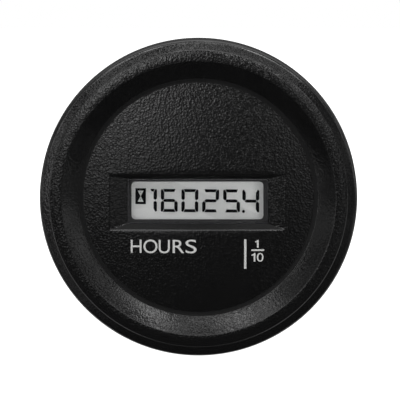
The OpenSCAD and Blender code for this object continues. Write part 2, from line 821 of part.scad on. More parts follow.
module reservoir_capacitor() {
    groove_z = 1.8;
    color("#27305c") on_board(0.52, 0.41) rotate_extrude() polygon([
        [0, 0], [capacitor_r, 0], [capacitor_r, groove_z - 0.4], [capacitor_r - 0.4, groove_z],
        [capacitor_r, groove_z + 0.4], [capacitor_r, capacitor_h - 0.5], [capacitor_r - 0.5, capacitor_h],
        [0, capacitor_h]
    ]);
}

module voltage_regulator() {
    lead_pitch = 1.27;
    color(chip_colour) on_board(0.61, -0.35) {
        translate([0, 0, regulator_stand]) linear_extrude(regulator_h) intersection() {
            circle(r = regulator_r);
            translate([0, regulator_r / 3]) box(2 * regulator_r, 2 * regulator_r);
        }
        for (i = [-1, 0, 1]) translate([i * lead_pitch, 0, 0]) cylinder(r = lead_r, h = regulator_stand + lead_r);
    }
}

// Blade behind the cover, shoulder against its inner face and tail through the board
module terminal(side) {
    tip_z = cover_back_z - blade_len;
    shoulder_z = cover_front_z + shoulder_t;
    half = blade_w / 2;
    color(brass_colour) facing() translate([side * blade_x, -blade_down, 0]) difference() {
        rotate([90, 0, 0]) linear_extrude(blade_t, center = true) {
            polygon([
                [-half, cover_front_z + shoulder_t / 2], [-half, tip_z + blade_chamfer],
                [-half + blade_chamfer, tip_z], [half - blade_chamfer, tip_z],
                [half, tip_z + blade_chamfer], [half, cover_front_z + shoulder_t / 2]
            ]);
            translate([-shoulder_w / 2, cover_front_z]) square([shoulder_w, shoulder_t]);
            translate([-tail_w / 2, cover_front_z + shoulder_t / 2])
                square([tail_w, board_front_z + tail_past - cover_front_z - shoulder_t / 2]);
        }
        translate([0, blade_t, tip_z + blade_hole_at]) rotate([90, 0, 0]) cylinder(r = blade_hole_r, h = 2 * blade_t);
    }
}

module terminal_left() {
    terminal(-1);
}

module terminal_right() {
    terminal(1);
}

module rear_cover() {
    color(cover_colour) facing() difference() {
        union() {
            rod(cover_r, cover_back_z, cover_front_z);
            difference() {
                rod(spigot_r, cover_front_z - cover_t / 2, cover_front_z + spigot_len);
                rod(spigot_in_r, cover_front_z, cover_front_z + spigot_len + past);
            }
            for (a = [90, 210, 330]) rotate([0, 0, a]) translate([post_at, 0, 0])
                rod(post_r, cover_front_z - cover_t / 2, board_back_z);
            for (s = [-1, 1]) translate([s * stud_x, 0, 0]) {
                rod(socket_r, cover_front_z - cover_t / 2, cover_front_z + stud_head_t);
                rod(pad_r, pad_z, cover_back_z + cover_t / 2);
            }
        }
        difference() {
            rod(spigot_r + past, seal_z - seal_section_r - seal_fit, seal_z + seal_section_r + seal_fit);
            rod(seal_groove_r, seal_z - spigot_len, seal_z + spigot_len);
        }
        for (s = [-1, 1]) {
            translate([s * stud_x, 0, 0]) {
                rod(stud_r + stud_fit, pad_z - past, cover_front_z + past);
                hexagon(stud_head_af + 2 * stud_head_fit, cover_front_z, cover_front_z + stud_head_t + past);
            }
            translate([s * blade_x, -blade_down, 0]) slab(cover_back_z - past, cover_front_z + past)
                box(blade_w + 2 * blade_fit, blade_t + 2 * blade_fit);
        }
    }
}

module cover_seal() {
    color("#3a2a26") facing() translate([0, 0, seal_z]) rotate_extrude() translate([seal_mid_r, 0])
        circle(r = seal_section_r, $fn = 32);
}

module panel_gasket() {
    color("#26282a") facing() difference() {
        rod(groove_r - gasket_fit, 0, gasket_t);
        rod(barrel_r + gasket_fit, -past, gasket_t + past);
    }
}

module stud(side) {
    color(steel_colour) facing() translate([side * stud_x, 0, 0]) {
        hexagon(stud_head_af, cover_front_z, cover_front_z + stud_head_t);
        rod(stud_r, stud_tip_z + stud_chamfer, cover_front_z + stud_head_t / 2);
        translate([0, 0, stud_tip_z]) cylinder(r1 = stud_r - stud_chamfer, r2 = stud_r, h = stud_chamfer);
    }
}

module stud_left() {
    stud(-1);
}

module stud_right() {
    stud(1);
}

// Outline of the bent strip, seen along its width, as [x, height]
module strap_outline() {
    bend_out = strap_bend + strap_t;
    bend_mid = [leg_in_x - strap_bend, bridge_z + strap_bend];
    translate([-bend_mid.x, strap_back_z]) square([2 * bend_mid.x, strap_t]);
    for (flip = [0, 1]) mirror([flip, 0]) {
        translate([leg_in_x, bend_mid.y]) square([strap_t, foot_z - bend_mid.y]);
        intersection() {
            translate(bend_mid) difference() {
                circle(r = bend_out);
                circle(r = strap_bend);
            }
            translate([bend_mid.x, bend_mid.y - bend_out]) square(bend_out);
        }
    }
}

module stirrup_clamp() {
    color(steel_colour) facing() difference() {
        rotate([90, 0, 0]) linear_extrude(strap_w, center = true) strap_outline();
        for (s = [-1, 1]) {
            translate([s * stud_x, 0, 0]) rod(stud_r + strap_pass, strap_back_z - past, bridge_z + past);
            // Rounds the corners of the foot
            for (e = [-1, 1]) translate([s * leg_in_x, e * (strap_w / 2 - foot_corner), foot_z - foot_corner])
                rotate([0, s * 90, 0]) linear_extrude(3 * strap_t, center = true) difference() {
                    translate([s > 0 ? -foot_corner - past : 0, e > 0 ? 0 : -foot_corner - past])
                        square(foot_corner + past);
                    circle(r = foot_corner);
                }
        }
    }
}

module lock_washers() {
    color(steel_colour) facing() for (s = [-1, 1]) translate([s * stud_x, 0, 0]) difference() {
        rod(washer_r, washer_back_z, strap_back_z);
        rod(stud_r + washer_pass, washer_back_z - past, strap_back_z + past);
        translate([0, washer_r / 2, (washer_back_z + strap_back_z) / 2]) rotate([0, 25, 0])
            cube([washer_split, washer_r * 1.2, 4 * washer_t], center = true);
    }
}

// Hexagon nut with both ends chamfered
module nut(side) {
    corner = nut_af / sqrt(3);
    fall = (corner - nut_af / 2 + 0.1) * tan(30);
    color(steel_colour) facing() translate([side * stud_x, 0, 0]) difference() {
        intersection() {
            hexagon(nut_af, nut_back_z, nut_front_z);
            rotate_extrude() polygon([
                [0, nut_back_z], [nut_af / 2 - 0.1, nut_back_z], [corner + past, nut_back_z + fall + past * tan(30)],
                [corner + past, nut_front_z - fall - past * tan(30)], [nut_af / 2 - 0.1, nut_front_z], [0, nut_front_z]
            ]);
        }
        rod(stud_r + stud_fit, nut_back_z - past, nut_front_z + past);
    }
}

module nut_left() {
    nut(-1);
}

module nut_right() {
    nut(1);
}

front_case();
legend_print();
window_lens();
window_mask();
lcd_front_polariser();
lcd_front_glass();
lcd_edge_seal();
lcd_segments();
lcd_rear_glass();
lcd_reflector();
display_frame();
upper_contact_strip();
lower_contact_strip();
circuit_board();
board_screws();
controller_chip();
memory_chip();
clock_crystal();
bridge_rectifier();
surge_suppressor();
dropping_resistors();
chip_resistors();
chip_capacitors();
reservoir_capacitor();
voltage_regulator();
terminal_left();
terminal_right();
rear_cover();
cover_seal();
panel_gasket();
stud_left();
stud_right();
stirrup_clamp();
lock_washers();
nut_left();
nut_right();
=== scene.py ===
"""Round panel-mounted digital hour meter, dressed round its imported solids."""
import math

import bpy
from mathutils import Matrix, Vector


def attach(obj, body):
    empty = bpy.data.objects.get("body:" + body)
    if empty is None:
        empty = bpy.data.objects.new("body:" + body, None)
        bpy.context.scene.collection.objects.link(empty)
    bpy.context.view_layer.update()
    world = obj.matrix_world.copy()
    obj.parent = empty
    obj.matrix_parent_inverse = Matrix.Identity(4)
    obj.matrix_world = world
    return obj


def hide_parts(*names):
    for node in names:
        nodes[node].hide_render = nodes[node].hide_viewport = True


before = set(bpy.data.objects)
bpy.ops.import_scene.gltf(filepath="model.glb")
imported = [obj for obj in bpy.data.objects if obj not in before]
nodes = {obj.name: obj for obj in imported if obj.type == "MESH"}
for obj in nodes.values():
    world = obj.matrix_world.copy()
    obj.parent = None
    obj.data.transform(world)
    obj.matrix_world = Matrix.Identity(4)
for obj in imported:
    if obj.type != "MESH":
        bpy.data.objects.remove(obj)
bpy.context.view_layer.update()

# Pieces are drawn in millimetres with x to the right, y up and z out of the panel, and stand_up() then
# turns them to the part's own frame in metres.
TURN_STEPS = 256
# The face is a shallow dome, the cap of a large ball, and meets the turned ring at FACE_JOIN_R
DOME_R = 234.5
DOME_MIDDLE = -229.68
FACE_JOIN_R = 19.6
JOIN_RISE = math.sqrt(DOME_R ** 2 - FACE_JOIN_R ** 2)
WINDOW_Y = -0.85


def nothing_selected():
    if bpy.context.object and bpy.context.object.mode != "OBJECT":
        bpy.ops.object.mode_set(mode="OBJECT")
    bpy.ops.object.select_all(action="DESELECT")


def take(piece):
    """Makes a piece the only selected and active one."""
    nothing_selected()
    piece.select_set(True)
    bpy.context.view_layer.objects.active = piece
    return piece


def started(name):
    """Names the primitive that was just added and opens it for shaping."""
    piece = bpy.context.object
    piece.name = piece.data.name = name
    bpy.ops.object.transform_apply(location=True, rotation=False, scale=False)
    bpy.ops.object.mode_set(mode="EDIT")
    bpy.ops.mesh.select_mode(type="VERT")
    return piece


def pick(piece, wanted, kind="VERT"):
    """Leaves selected the points, edges or faces of the piece at the wanted places."""
    bpy.ops.object.mode_set(mode="EDIT")
    bpy.ops.mesh.select_mode(type=kind)
    bpy.ops.mesh.select_all(action="DESELECT")
    bpy.ops.object.mode_set(mode="OBJECT")
    mesh = piece.data
    if kind == "VERT":
        for point in mesh.vertices:
            point.select = bool(wanted(point.co))
    elif kind == "EDGE":
        for edge in mesh.edges:
            a, b = (mesh.vertices[i].co for i in edge.vertices)
            edge.select = bool(wanted(a) and wanted(b))
    else:
        for face in mesh.polygons:
            face.select = bool(wanted(face.center, face.normal))
    bpy.ops.object.mode_set(mode="EDIT")


def pick_open(piece, wanted):
    """Leaves selected the open edges at the wanted places."""
    pick(piece, lambda p: False, "EDGE")
    bpy.ops.object.mode_set(mode="OBJECT")
    sides = {}
    for face in piece.data.polygons:
        for key in face.edge_keys:
            sides[key] = sides.get(key, 0) + 1
    for edge in piece.data.edges:
        a, b = (piece.data.vertices[i].co for i in edge.vertices)
        edge.select = sides.get(edge.key, 0) < 2 and bool(wanted(a) and wanted(b))
    bpy.ops.object.mode_set(mode="EDIT")


def move(x=0.0, y=0.0, z=0.0):
    bpy.ops.transform.translate(value=(x, y, z))


def resize(x, y, z, about):
    bpy.ops.transform.resize(value=(x, y, z), center_override=about)


def use(piece, kind, **settings):
    """Adds a modifier to the piece and applies it."""
    take(piece)
    modifier = piece.modifiers.new(kind.title(), kind)
    for key, value in settings.items():
        setattr(modifier, key, value)
    bpy.ops.object.modifier_apply(modifier=modifier.name)


def curve_points(middle, radius, first, last, steps):
    return [(middle[0] + radius * math.cos(math.radians(first + (last - first) * i / steps)),
             middle[1] + radius * math.sin(math.radians(first + (last - first) * i / steps)))
            for i in range(steps + 1)]


def dome_height(r):
    return DOME_MIDDLE + math.sqrt(DOME_R ** 2 - r ** 2)


def draw_section(name, points):
    """A line through the points (radius, height), drawn corner by corner from one point."""
    nothing_selected()
    bpy.ops.mesh.primitive_plane_add(size=0.01, location=(0, 0, 0))
    piece = started(name)
    bpy.ops.mesh.select_all(action="SELECT")
    bpy.ops.mesh.merge(type="CENTER")
    move(points[0][0], 0, points[0][1])
    for before, after in zip(points, points[1:]):
        bpy.ops.mesh.extrude_vertices_move(
            TRANSFORM_OT_translate={"value": (after[0] - before[0], 0, after[1] - before[1])})
    return piece


def turn_round(steps=TURN_STEPS):
    """Spins the open section once round the z axis."""
    bpy.ops.mesh.select_all(action="SELECT")
    bpy.ops.mesh.spin(steps=steps, angle=math.tau, center=(0, 0, 0), axis=(0, 0, 1))
    bpy.ops.mesh.select_all(action="SELECT")
    bpy.ops.mesh.remove_doubles(threshold=0.0004)


def face_outwards():
    bpy.ops.mesh.select_all(action="SELECT")
    bpy.ops.mesh.normals_make_consistent(inside=False)


def onto_dome(piece, height=0.0):
    """Lays a flat drawing on the domed face, at a height above it."""
    take(piece)
    bpy.ops.object.mode_set(mode="EDIT")
    bpy.ops.mesh.select_all(action="SELECT")
    move(z=JOIN_RISE)
    use(piece, "CAST", cast_type="SPHERE", factor=1.0, radius=0.0, size=DOME_R + height, use_radius_as_size=False)
    bpy.ops.object.mode_set(mode="EDIT")
    bpy.ops.mesh.select_all(action="SELECT")
    move(z=DOME_MIDDLE)
    bpy.ops.object.mode_set(mode="OBJECT")


def stand_up(piece, body, slot, finish, *replaced, smooth=30):
    """Turns a finished drawing to the part's frame and fixes it to its body."""
    take(piece)
    piece.rotation_euler = (math.radians(90), 0, 0)
    piece.scale = (0.001, 0.001, 0.001)
    bpy.ops.object.transform_apply(location=True, rotation=True, scale=True)
    if smooth:
        bpy.ops.object.shade_smooth_by_angle(angle=math.radians(smooth))
    if not piece.data.materials:
        piece.data.materials.append(finish)
    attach(piece, body)
    if replaced:
        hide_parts(*replaced)
    return piece


# Finishes

def new_finish(name, colour, rough, metal=0.0, alpha=1.0, shine=0.5):
    finish = bpy.data.materials.new(name)
    finish.use_nodes = True
    tree = finish.node_tree
    shader = tree.nodes["Principled BSDF"]
    shader.inputs["Base Color"].default_value = (*colour, 1.0)
    shader.inputs["Roughness"].default_value = rough
    shader.inputs["Metallic"].default_value = metal
    shader.inputs["Alpha"].default_value = alpha
    shader.inputs["Specular IOR Level"].default_value = shine
    finish.diffuse_color = (*colour, 1.0)
    return finish, tree, shader


def node(tree, kind, **settings):
    made = tree.nodes.new(kind)
    for key, value in settings.items():
        setattr(made, key, value)
    return made


def noise(tree, place, size, detail=2.0, rough=0.5):
    """Noise whose features are about the given number of millimetres across."""
    made = node(tree, "ShaderNodeTexNoise")
    made.inputs["Scale"].default_value = 1000.0 / size
    made.inputs["Detail"].default_value = detail
    made.inputs["Roughness"].default_value = rough
    tree.links.new(place, made.inputs["Vector"])
    return made.outputs["Fac"]


def between(tree, value, low, high, from_low=0.3, from_high=0.7):
    made = node(tree, "ShaderNodeMapRange")
    for key, number in zip(("From Min", "From Max", "To Min", "To Max"), (from_low, from_high, low, high)):
        made.inputs[key].default_value = number
    tree.links.new(value, made.inputs["Value"])
    return made.outputs["Result"]


def tint(tree, value, low, high, from_low=0.3, from_high=0.7):
    made = node(tree, "ShaderNodeValToRGB")
    made.color_ramp.elements[0].position = from_low
    made.color_ramp.elements[1].position = from_high
    made.color_ramp.elements[0].color = (*low, 1.0)
    made.color_ramp.elements[1].color = (*high, 1.0)
    tree.links.new(value, made.inputs["Fac"])
    return made.outputs["Color"]


def raised(tree, height, depth, shader):
    """Relief of the given depth in millimetres."""
    made = node(tree, "ShaderNodeBump")
    made.inputs["Distance"].default_value = depth / 1000.0
    tree.links.new(height, made.inputs["Height"])
    tree.links.new(made.outputs["Normal"], shader.inputs["Normal"])


def object_place(tree, stretch=(1.0, 1.0, 1.0)):
    place = node(tree, "ShaderNodeTexCoord")
    mapping = node(tree, "ShaderNodeMapping")
    mapping.inputs["Scale"].default_value = stretch
    tree.links.new(place.outputs["Object"], mapping.inputs["Vector"])
    return mapping.outputs["Vector"]


def plain_finish(name, colour, rough, metal=0.0, alpha=1.0, size=0.6, spread=0.15, depth=0.01, rough_spread=0.08,
                 stretch=(1.0, 1.0, 1.0), shine=0.5):
    """A finish with fine variation of colour and gloss and a slight relief."""
    finish, tree, shader = new_finish(name, colour, rough, metal, alpha, shine)
    place = object_place(tree, stretch)
    cloud = noise(tree, place, size, 4.0, 0.6)
    low = tuple(c * (1 - spread) for c in colour)
    high = tuple(min(1.0, c * (1 + spread)) for c in colour)
    tree.links.new(tint(tree, cloud, low, high), shader.inputs["Base Color"])
    tree.links.new(between(tree, cloud, rough - rough_spread, rough + rough_spread), shader.inputs["Roughness"])
    if depth:
        raised(tree, cloud, depth, shader)
    return finish


def grained_plastic(name, depth, gloss=1.5, rough=(0.07, 0.12)):
    """Black moulding with a fine leather grain of the given depth, as the eroded mould leaves it."""
    finish, tree, shader = new_finish(name, (0.0055, 0.0055, 0.0056), 0.13)
    shader.inputs["IOR"].default_value = gloss
    place = object_place(tree)
    # Cells about 0.4 mm across, swayed by up to 0.6 mm so that no two are alike
    bend = node(tree, "ShaderNodeTexNoise")
    bend.inputs["Scale"].default_value = 1300.0
    bend.inputs["Detail"].default_value = 2.0
    tree.links.new(place, bend.inputs["Vector"])
    sway = node(tree, "ShaderNodeVectorMath", operation="MULTIPLY_ADD")
    sway.inputs[1].default_value = (0.0006, 0.0006, 0.0006)
    tree.links.new(bend.outputs["Color"], sway.inputs[0])
    tree.links.new(place, sway.inputs[2])
    cells = node(tree, "ShaderNodeTexVoronoi", feature="SMOOTH_F1")
    cells.inputs["Scale"].default_value = 2600.0
    cells.inputs["Smoothness"].default_value = 0.35
    tree.links.new(sway.outputs["Vector"], cells.inputs["Vector"])
    # A quarter as much of a finer noise on top of the cells
    fine = noise(tree, place, 0.16, 2.0)
    height = node(tree, "ShaderNodeMath", operation="MULTIPLY_ADD")
    height.inputs[1].default_value = 0.25
    tree.links.new(fine, height.inputs[0])
    tree.links.new(cells.outputs["Distance"], height.inputs[2])
    raised(tree, height.outputs["Value"], depth, shader)
    cloud = noise(tree, place, 3.0, 3.0)
    tree.links.new(tint(tree, cloud, (0.0051, 0.0051, 0.0052), (0.0059, 0.0059, 0.0060)), shader.inputs["Base Color"])
    tree.links.new(between(tree, fine, *rough), shader.inputs["Roughness"])
    return finish


CASE = grained_plastic("case_plastic", 0.029)
CASE_SMOOTH = grained_plastic("case_smooth", 0.008, 1.29, (0.26, 0.34))
CASE_EDGE = grained_plastic("case_edge", 0.012, 1.75)
# A glossier, less grained copy of the plastic, used only on the lit lower lip of the opening: a painted highlight
CASE_LIP_HIGHLIGHT = grained_plastic("case_lip_highlight", 0.012, 1.60)
COVER = plain_finish("cover_plastic", (0.012, 0.012, 0.0125), 0.5, size=0.35, depth=0.012)
INK = plain_finish("ink", (0.50, 0.50, 0.49), 0.55, size=0.25, spread=0.06, depth=0.006)
LENS = new_finish("clear_lens", (0.02, 0.02, 0.022), 0.08, alpha=0.05, shine=0.12)[0]
LENS_EDGE = plain_finish("lens_edge", (0.05, 0.05, 0.052), 0.3, alpha=0.75, size=0.4, depth=0.004)
MASK = plain_finish("mask_print", (0.021, 0.021, 0.022), 0.5, size=0.5, depth=0.003)
POLARISER = new_finish("polariser", (0.02, 0.021, 0.02), 0.5, alpha=0.04, shine=0.0)[0]
GLASS = new_finish("display_glass", (0.10, 0.11, 0.11), 0.1, alpha=0.03, shine=0.0)[0]
GLUE = plain_finish("seal_glue", (0.66, 0.64, 0.55), 0.5)
SEGMENTS = plain_finish("segments", (0.004, 0.004, 0.005), 0.6, size=0.3, depth=0.0, shine=0.05)
REFLECTOR = plain_finish("reflector", (0.80, 0.81, 0.80), 0.6, size=0.12, spread=0.03, depth=0.0)
FRAME = plain_finish("frame_plastic", (0.55, 0.55, 0.53), 0.5)
RUBBER = plain_finish("strip_rubber", (0.20, 0.20, 0.21), 0.6, stretch=(6.0, 1.0, 1.0))
BOARD = plain_finish("board", (0.01, 0.09, 0.035), 0.4, size=1.2, spread=0.35)
ZINC = plain_finish("zinc_steel", (0.74, 0.75, 0.77), 0.32, 1.0, size=0.5, spread=0.12, depth=0.006)
STRAP = plain_finish("clamp_steel", (0.68, 0.69, 0.71), 0.38, 1.0, size=0.5, spread=0.12, depth=0.006,
                     stretch=(0.12, 1.0, 1.0))
CHIP = plain_finish("chip_plastic", (0.018, 0.018, 0.019), 0.6)
CAN = plain_finish("can_metal", (0.6, 0.6, 0.6), 0.3, 1.0)
SUPPRESSOR = plain_finish("suppressor_coat", (0.03, 0.09, 0.30), 0.4)
RESISTOR = plain_finish("resistor_coat", (0.42, 0.33, 0.20), 0.5)
CHIP_CERAMIC = plain_finish("chip_ceramic", (0.02, 0.02, 0.02), 0.4)
CAPACITOR_CERAMIC = plain_finish("capacitor_ceramic", (0.36, 0.24, 0.14), 0.5)
SLEEVE = plain_finish("capacitor_sleeve", (0.02, 0.02, 0.05), 0.35)
BRASS = plain_finish("terminal_brass", (0.82, 0.65, 0.34), 0.3, 1.0, size=0.5, spread=0.12, depth=0.005,
                     stretch=(1.0, 0.12, 1.0))
SEAL_RUBBER = plain_finish("seal_rubber", (0.014, 0.014, 0.014), 0.7)


# The case: a turned section closed by the domed face with its recess

CREASE_R, CREASE_TOP = 27.48, 6.039
RIM_START_R, RIM_R, RIM_BACK = 28.60, 29.2, 0.3
INNER_FACE = 1.92
BEZEL_UNDERSIDE = 1.0
GASKET_SEAT = (28.4, 25.1)
HOLLOW, HOLLOW_TOP = (27.8, 26.1), 4.168
BARREL_R, BORE_R, BARREL_END = 25.4, 23.4, -20.0
BORE_CORNER_R = 20.0
FRONT_SECTION = (
    # The face's edge, the valley round it and the foot of the ring
    [(FACE_JOIN_R, dome_height(FACE_JOIN_R)), (20.4, dome_height(20.4))]
    + curve_points((21.370, 6.857), 3.000, -95.16, -87.50, 4)
    + curve_points((21.959, 4.130), 0.250, -87.50, -56.00, 6)
    # The hollowed wall up to the crest, and the crest with its crowned slope
    + curve_points((6.427, 27.157), 28.026, -54.40, -48.00, 4)
    + curve_points((25.381, 6.107), 0.300, 126.75, 90.00, 7)
    + curve_points((25.381, -3.113), 9.520, 88.00, 78.00, 5)
    # The crease's step and the rim's round
    + [(CREASE_R, CREASE_TOP)]
    + curve_points((28.200, 4.670), 1.000, 68.00, 0.00, 12)
)
BACK_SECTION = [
    (RIM_R, RIM_BACK + 0.2), (RIM_R - 0.2, RIM_BACK), (GASKET_SEAT[0], RIM_BACK), (GASKET_SEAT[0], BEZEL_UNDERSIDE),
    (HOLLOW[0], BEZEL_UNDERSIDE), (HOLLOW[0], HOLLOW_TOP), (HOLLOW[1], HOLLOW_TOP), (HOLLOW[1], BEZEL_UNDERSIDE),
    (GASKET_SEAT[1], BEZEL_UNDERSIDE), (GASKET_SEAT[1], 0.0), (BARREL_R - 0.1, 0.0), (BARREL_R, -0.1),
    (BARREL_R, BARREL_END + 0.2), (BARREL_R - 0.2, BARREL_END), (BORE_R, BARREL_END), (BORE_R, INNER_FACE),
    (BORE_CORNER_R, INNER_FACE),
]
OPENING = (32.2, 10.15)
OPENING_PLACE = (-0.25, -0.93)
LENS_HOLE = (25.8, 8.34)
LENS_PLACE = (-0.15, -0.72)
RECESS_FLOOR = 3.72
LIP_ROUND = 0.2
# The cuts give the opening's edge as many points as the circle round the face has
OPENING_CUTS = ((1, 97), (0, 29))
# Places of the case's four finishes in its list
CASE_FINISHES = (CASE, CASE_SMOOTH, CASE_EDGE, CASE_LIP_HIGHLIGHT)
GRAINED, SMOOTH, BURNISHED, LIP_HIGHLIGHT = range(4)


def on_rim(point):
    """True on the edge where the recess meets the domed face."""
    lay_flat = JOIN_RISE / (point.z - DOME_MIDDLE)
    across, up = (abs(point[i] * lay_flat - OPENING_PLACE[i]) / OPENING[i] * 2 for i in (0, 1))
    return abs(max(across, up) - 1) < 0.0003 and point.z > 4.0


def face_with_recess():
    """The domed face, bridged from its round edge to the opening, with the recess sunk into it."""
    nothing_selected()
    bpy.ops.mesh.primitive_circle_add(vertices=TURN_STEPS, radius=FACE_JOIN_R, location=(0, 0, 0))
    face = started("face_with_recess")
    bpy.ops.mesh.primitive_plane_add(size=1, location=(*OPENING_PLACE, 0))
    resize(OPENING[0], OPENING[1], 1, (*OPENING_PLACE, 0))
    bpy.ops.mesh.delete(type="ONLY_FACE")
    for axis, cuts in OPENING_CUTS:
        for side in (0.5, -0.5):
            at = OPENING_PLACE[axis] + side * OPENING[axis]
            pick(face, lambda p: abs(p[axis] - at) < 0.001 and p.xy.length < FACE_JOIN_R - 1, "EDGE")
            bpy.ops.mesh.subdivide(number_cuts=cuts)
    bpy.ops.mesh.select_all(action="SELECT")
    bpy.ops.mesh.bridge_edge_loops(number_cuts=9, interpolation="LINEAR")
    onto_dome(face)
    # Sloping walls down to the lens, and the straight walls beside it
    pick_open(face, lambda p: p.xy.length < FACE_JOIN_R - 1)
    bpy.ops.mesh.extrude_region_move()
    resize(LENS_HOLE[0] / OPENING[0], LENS_HOLE[1] / OPENING[1], 0, (*OPENING_PLACE, RECESS_FLOOR))
    move(LENS_PLACE[0] - OPENING_PLACE[0], LENS_PLACE[1] - OPENING_PLACE[1])
    bpy.ops.mesh.extrude_region_move(TRANSFORM_OT_translate={"value": (0, 0, INNER_FACE - RECESS_FLOOR)})
    # The opening's edge is rounded. Its lower side, where the light catches the lip, gets a glossier, less grained copy
    # of the plastic as a painted highlight
    pick(face, on_rim, "EDGE")
    bpy.ops.mesh.bevel(offset=LIP_ROUND, segments=4, affect="EDGES")
    bpy.ops.object.mode_set(mode="OBJECT")
    for finish in CASE_FINISHES:
        face.data.materials.append(finish)
    lower_side = OPENING_PLACE[1] - OPENING[1] / 2 + 0.25
    for part in face.data.polygons:
        part.material_index = LIP_HIGHLIGHT if part.select and part.center.y < lower_side else GRAINED
    return face


def front_case():
    """The case in one closed mesh: the turned ring and barrel, joined to the face in front and inside."""
    face = face_with_recess()
    case = draw_section("case_moulding", FRONT_SECTION + BACK_SECTION)
    turn_round()
    bpy.ops.object.mode_set(mode="OBJECT")
    for finish in CASE_FINISHES:
        case.data.materials.append(finish)
    take(case)
    face.select_set(True)
    bpy.ops.object.join()
    bpy.ops.object.mode_set(mode="EDIT")
    bpy.ops.mesh.select_all(action="SELECT")
    bpy.ops.mesh.remove_doubles(threshold=0.002)
    pick_open(case, lambda p: abs(p.z - INNER_FACE) < 0.001 and p.xy.length < BORE_CORNER_R + 0.01)
    bpy.ops.mesh.bridge_edge_loops()
    face_outwards()
    bpy.ops.object.mode_set(mode="OBJECT")
    # The recess's upper and lower walls and the foot of the ring are smooth, the crease and the rim's round are
    # burnished, and the rest is grained
    for part in case.data.polygons:
        place, r = part.center, part.center.xy.length
        wall = (abs(part.normal.y) > 0.4 and abs(place.x) < OPENING[0] / 2 + 0.3 and 1.9 < place.z < 6.6
                and abs(place.y - OPENING_PLACE[1]) < OPENING[1] / 2 + 0.02)
        foot = 21.15 < r < 21.95 and place.z > 3
        edge = place.z > 4.2 and (r > RIM_START_R or CREASE_R - 0.12 < r < CREASE_R)
        if part.material_index == GRAINED:
            part.material_index = SMOOTH if wall or foot else BURNISHED if edge else GRAINED
    return case


case = front_case()


# Printed legend: words and figures laid on the face, each letter at its own place

def printed(letter, left, right, top, bottom):
    """One letter, fitted to its place on the face."""
    nothing_selected()
    bpy.ops.object.text_add(location=(0, 0, 0))
    text = bpy.context.object
    text.data.body = letter
    text.data.size = 1.0
    text.data.resolution_u = 10
    bpy.ops.object.convert(target="MESH")
    piece = bpy.context.object
    low = [min(v.co[i] for v in piece.data.vertices) for i in (0, 1)]
    high = [max(v.co[i] for v in piece.data.vertices) for i in (0, 1)]
    bpy.ops.object.mode_set(mode="EDIT")
    bpy.ops.mesh.select_all(action="SELECT")
    bpy.ops.mesh.remove_doubles(threshold=0.0005)
    move(-low[0], -low[1])
    resize((right - left) / (high[0] - low[0]), (top - bottom) / (high[1] - low[1]), 1, (0, 0, 0))
    move(left, bottom)
    bpy.ops.object.mode_set(mode="OBJECT")
    return piece


def outlined(points):
    """A flat figure, drawn corner by corner and filled."""
    nothing_selected()
    bpy.ops.mesh.primitive_plane_add(size=0.01, location=(0, 0, 0))
    piece = started("figure")
    bpy.ops.mesh.select_all(action="SELECT")
    bpy.ops.mesh.merge(type="CENTER")
    move(*points[0])
    for before, after in zip(points, points[1:]):
        bpy.ops.mesh.extrude_vertices_move(
            TRANSFORM_OT_translate={"value": (after[0] - before[0], after[1] - before[1], 0)})
    bpy.ops.mesh.select_all(action="SELECT")
    bpy.ops.mesh.edge_face_add()
    bpy.ops.object.mode_set(mode="OBJECT")
    return piece


def figure_one(right, top, bottom, stem):
    """The figure 1 with a short flag, as on a plain sans-serif scale."""
    tall = top - bottom
    left = right - stem
    return outlined([(left, bottom), (right, bottom), (right, top), (right - 0.7 * stem, top),
                     (left - 0.1 * tall, top - 0.16 * tall), (left - 0.24 * tall, top - 0.2 * tall),
                     (left - 0.24 * tall, top - 0.32 * tall), (left, top - 0.27 * tall)])


def bar(left, right, top, bottom):
    """A printed bar with slightly rounded corners."""
    nothing_selected()
    bpy.ops.mesh.primitive_plane_add(size=1, location=(0, 0, 0))
    piece = started("bar")
    bpy.ops.mesh.select_all(action="SELECT")
    resize(right - left, top - bottom, 1, (0, 0, 0))
    move((left + right) / 2, (top + bottom) / 2)
    bpy.ops.mesh.bevel(offset=0.06, segments=3, affect="VERTICES")
    bpy.ops.object.mode_set(mode="OBJECT")
    return piece


# Each letter with its left, right, top and bottom
LEGEND = [
    ("H", -12.45, -10.47, -7.76, -10.20), ("O", -10.11, -7.54, -7.71, -10.25), ("U", -7.30, -5.27, -7.76, -10.25),
    ("R", -4.74, -2.63, -7.76, -10.20), ("S", -2.38, -0.36, -7.71, -10.25),
    ("0", 10.72, 11.94, -10.20, -11.84),
]
# Left, right, top and bottom of the upright bar and the fraction's line
BARS = [(8.38, 8.79, -7.68, -13.15), (9.69, 12.07, -9.54, -9.84)]
# Right, top, bottom and stem of the two figures 1
ONES = [(11.05, -7.80, -9.24, 0.32), (10.45, -10.22, -11.82, 0.32)]
PRINT_LIFT, PRINT_T = 0.005, 0.035


def legend_print():
    """All words, figures and bars in one piece, laid on the face as a thin coat of ink."""
    parts = [printed(*letter) for letter in LEGEND] + [bar(*sides) for sides in BARS]
    parts += [figure_one(*figure) for figure in ONES]
    take(parts[0])
    for part in parts:
        part.select_set(True)
    bpy.ops.object.join()
    legend = bpy.context.object
    legend.name = legend.data.name = "printed_legend"
    onto_dome(legend, PRINT_LIFT)
    use(legend, "SOLIDIFY", thickness=PRINT_T, offset=1.0)
    return legend


legend = legend_print()
stand_up(case, "meter", "case_plastic", CASE, "front_case")
stand_up(legend, "meter", "ink", INK, "legend_print", smooth=0)


# Window lens: a block with rounded edges on a wider flange

FLANGE, FLANGE_BACK = (29.0, 11.5), 1.22
LENS_LIP, LENS_FIT = 1.5, 0.1
LENS_FRONT = 3.67


